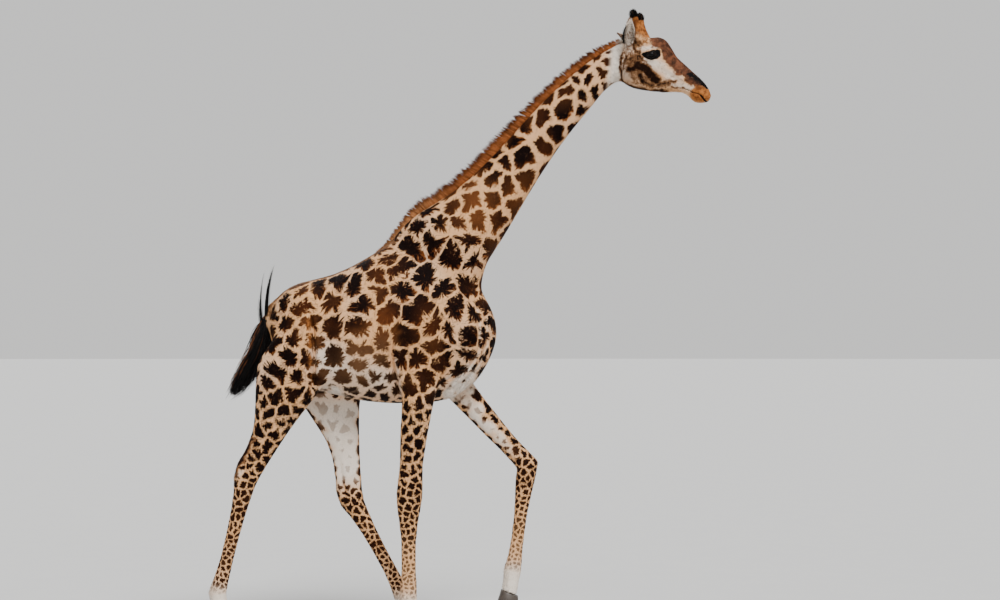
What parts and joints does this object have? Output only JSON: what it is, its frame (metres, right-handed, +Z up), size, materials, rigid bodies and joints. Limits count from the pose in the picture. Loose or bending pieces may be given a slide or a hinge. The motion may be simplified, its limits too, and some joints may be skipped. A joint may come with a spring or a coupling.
{
  "type": "giraffe",
  "caption": "Life-size still model of a walking giraffe: long raised neck with a short mane, horned head, sloping back, long legs in mid stride and a tasselled tail.",
  "frame": {"origin": "on the floor under the middle of the animal's length and width", "axes": "+X the way the animal faces, +Y its left side, +Z up"},
  "size_m": [3.318, 0.6602, 4.1474],
  "materials": {
    "coat": "short flat hair, cream to tan with dark brown jagged patches",
    "pale_coat": "short flat whitish hair",
    "hoof": "dark grey-brown hoof horn, satin",
    "eye": "wet dark brown eye",
    "mane_hair": "short upright orange-brown hair",
    "black_hair": "long coarse black hair"
  },
  "bodies": {
    "root": {"head": "coat", "neck_upper": "coat", "neck_lower": "coat", "trunk": "coat", "foreleg_right_upper": "coat", "foreleg_right_cannon": "coat", "foreleg_right_pastern": "pale_coat", "foreleg_right_hoof_left": "hoof", "foreleg_right_hoof_right": "hoof", "foreleg_left_upper": "coat", "foreleg_left_cannon": "coat", "foreleg_left_pastern": "pale_coat", "foreleg_left_hoof_left": "hoof", "foreleg_left_hoof_right": "hoof", "hindleg_right_upper": "coat", "hindleg_right_cannon": "coat", "hindleg_right_pastern": "pale_coat", "hindleg_right_hoof_left": "hoof", "hindleg_right_hoof_right": "hoof", "hindleg_left_upper": "coat", "hindleg_left_cannon": "coat", "hindleg_left_pastern": "pale_coat", "hindleg_left_hoof_left": "hoof", "hindleg_left_hoof_right": "hoof", "ossicone_left": "coat", "ossicone_right": "coat", "ear_left": "coat", "ear_right": "coat", "eye_left": "eye", "eye_right": "eye", "mane": "mane_hair", "tail_dock": "coat", "tail_tassel": "black_hair"}
  },
  "joints": []
}
